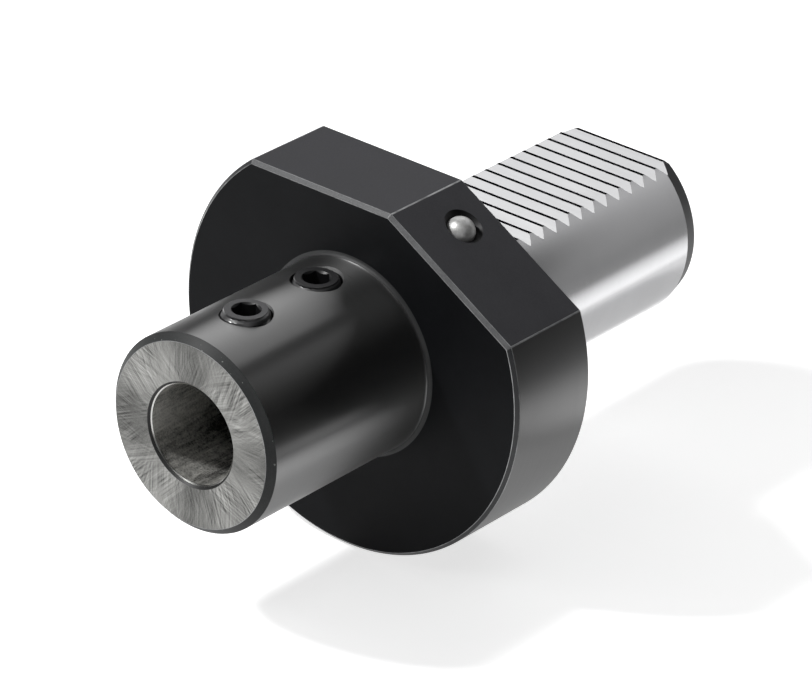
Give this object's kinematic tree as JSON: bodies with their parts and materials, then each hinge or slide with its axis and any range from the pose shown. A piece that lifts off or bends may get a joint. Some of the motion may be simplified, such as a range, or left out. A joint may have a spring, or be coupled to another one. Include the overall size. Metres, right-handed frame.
{
  "type": "turret drill holder",
  "caption": "Turret drill holder with a bored round nose, hexagon-socket clamp screws, a large flange with flats, and a cylindrical shank with a row of clamping teeth.",
  "frame": {"origin": "centre of the flange's contact face, on the tool axis", "axes": "+Y along the tool axis towards the shank's end, so the nose points to -Y; +Z towards the top flat, the clamp screws and the teeth; +X towards the second flat"},
  "size_m": [0.083, 0.13, 0.074],
  "materials": {
    "blackened_steel": "satin black oxide, bright ground on the nose face, tool bore, shank and tooth flanks",
    "screw_steel": "black oxide, slightly glossy",
    "ball_steel": "polished",
    "seal_rubber": "matt"
  },
  "bodies": {
    "holder": {"holder_body": "blackened_steel", "channel_ball": "ball_steel", "seal_ring": "seal_rubber"},
    "front_screw": {"clamp_screw_front": "screw_steel"},
    "rear_screw": {"clamp_screw_rear": "screw_steel"}
  },
  "joints": [
    {"name": "front_screw_travel", "type": "slide", "parent": "holder", "child": "front_screw", "axis": [0, 0, 1], "range_m": [-0.0026, 0.004]},
    {"name": "rear_screw_travel", "type": "slide", "parent": "holder", "child": "rear_screw", "axis": [0, 0, 1], "range_m": [-0.0019, 0.004]}
  ]
}
